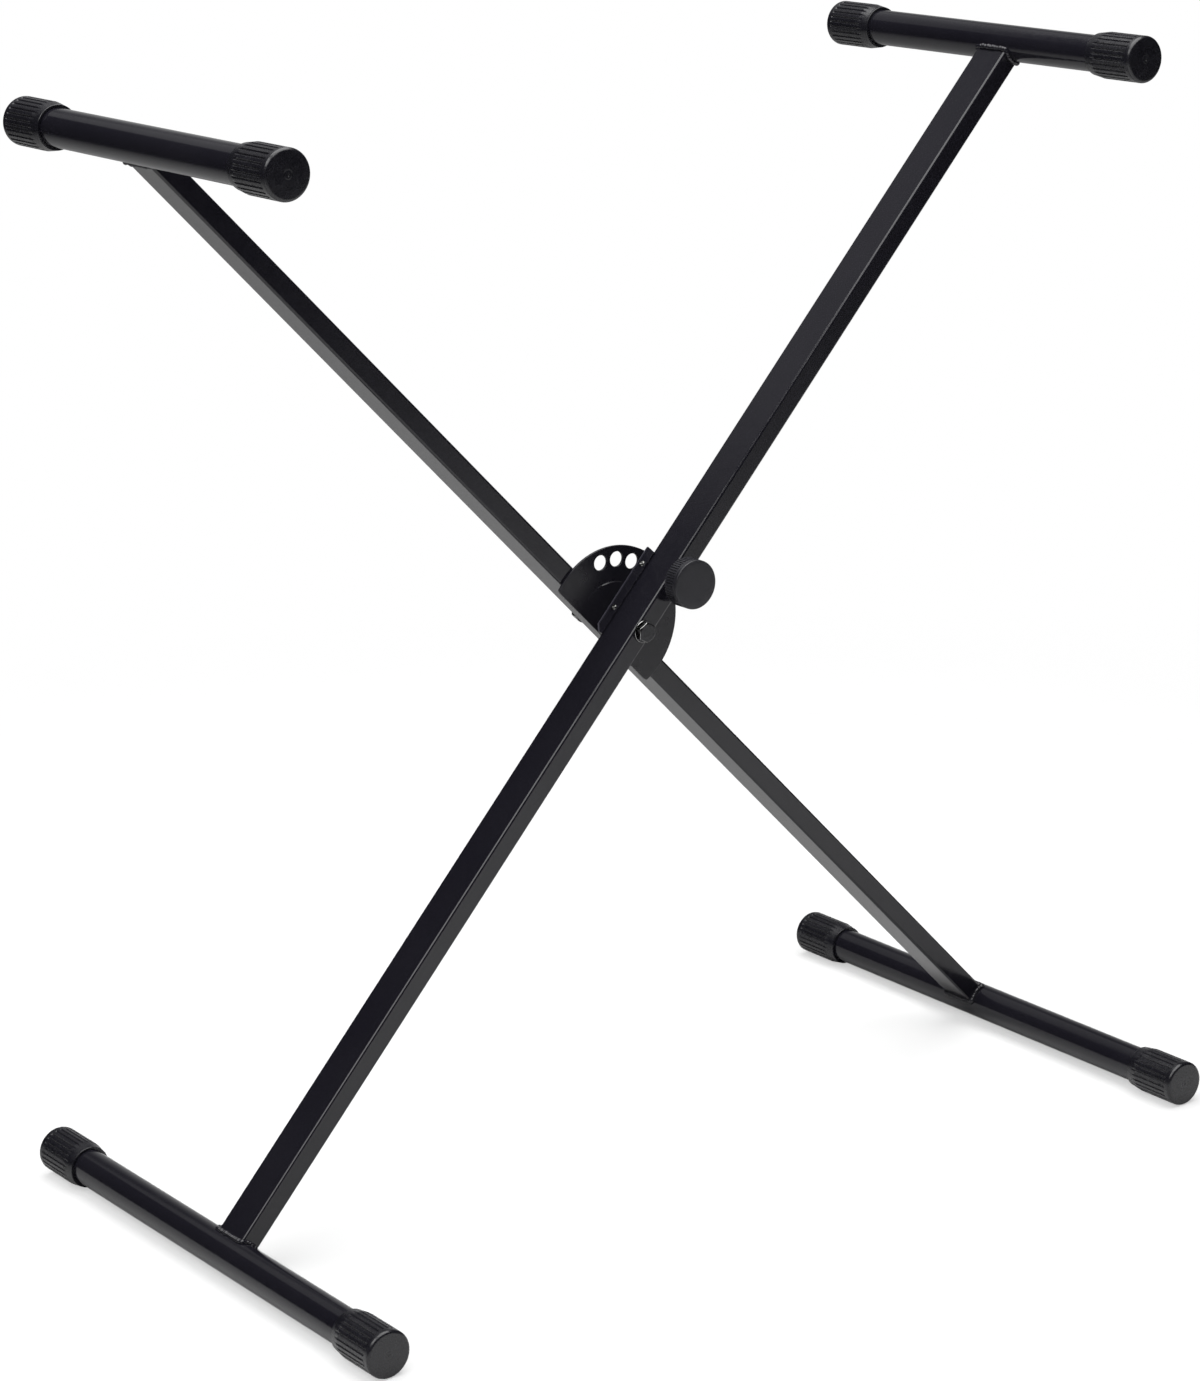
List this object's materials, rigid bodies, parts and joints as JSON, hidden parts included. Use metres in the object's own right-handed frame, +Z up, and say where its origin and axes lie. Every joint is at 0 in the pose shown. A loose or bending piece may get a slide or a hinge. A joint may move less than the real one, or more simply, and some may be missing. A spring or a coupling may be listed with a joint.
{
  "type": "keyboard stand",
  "caption": "Folding keyboard stand: two rectangular-tube arms crossed at a bolt, round bars and feet with ribbed end caps, a holed lock plate and a sprung pull-knob pin.",
  "frame": {"origin": "on the floor, midway between the two feet and midway along them", "axes": "+Z up; X across the stand, from the foot of the front arm at -X to its top bar at +X; Y front to back, with the player and the pull knob at -Y"},
  "size_m": [0.7346, 0.434, 0.7815],
  "materials": {
    "powder_coat": "satin black powder coat with a fine grain",
    "painted_weld": "glossier black paint over rippled weld beads",
    "cap_rubber": "moulded black rubber with lengthwise grooves",
    "dark_fastener": "black zinc-plated fasteners",
    "plain_steel": "bare turned steel, mostly inside the arm",
    "knob_plastic": "moulded black plastic, grooved round its edge"
  },
  "bodies": {
    "front_frame": {"front_arm_tube": "powder_coat", "front_top_bar": "powder_coat", "front_foot_bar": "powder_coat", "front_arm_welds": "painted_weld", "front_top_cap_near": "cap_rubber", "front_top_cap_far": "cap_rubber", "front_foot_cap_near": "cap_rubber", "front_foot_cap_far": "cap_rubber", "pivot_bracket": "powder_coat", "bracket_plug_welds": "painted_weld", "pivot_bolt": "dark_fastener", "head_washer": "dark_fastener", "front_arm_sleeve": "plain_steel", "bracket_spacer": "plain_steel", "nut_washer": "dark_fastener", "lock_nut": "dark_fastener", "pin_guide": "dark_fastener", "pin_spring": "plain_steel"},
    "back_frame": {"back_arm_tube": "powder_coat", "back_top_bar": "powder_coat", "back_foot_bar": "powder_coat", "back_arm_welds": "painted_weld", "back_top_cap_near": "cap_rubber", "back_top_cap_far": "cap_rubber", "back_foot_cap_near": "cap_rubber", "back_foot_cap_far": "cap_rubber", "lock_plate": "powder_coat", "lock_plate_welds": "painted_weld", "back_arm_sleeve": "plain_steel"},
    "pull_pin": {"locking_pin": "plain_steel", "pull_knob": "knob_plastic"}
  },
  "joints": [
    {"name": "fold", "type": "hinge", "parent": "front_frame", "child": "back_frame", "pos_m": [0, 0, 0.39077], "axis": [0, 1, 0], "range_deg": [-18, 82.3]},
    {"name": "pin_pull", "type": "slide", "parent": "front_frame", "child": "pull_pin", "axis": [0, -1, 0], "range_m": [0, 0.006], "stiffness_N_per_m": 700, "springref_m": -0.012, "deforming": ["pin_spring"]}
  ]
}
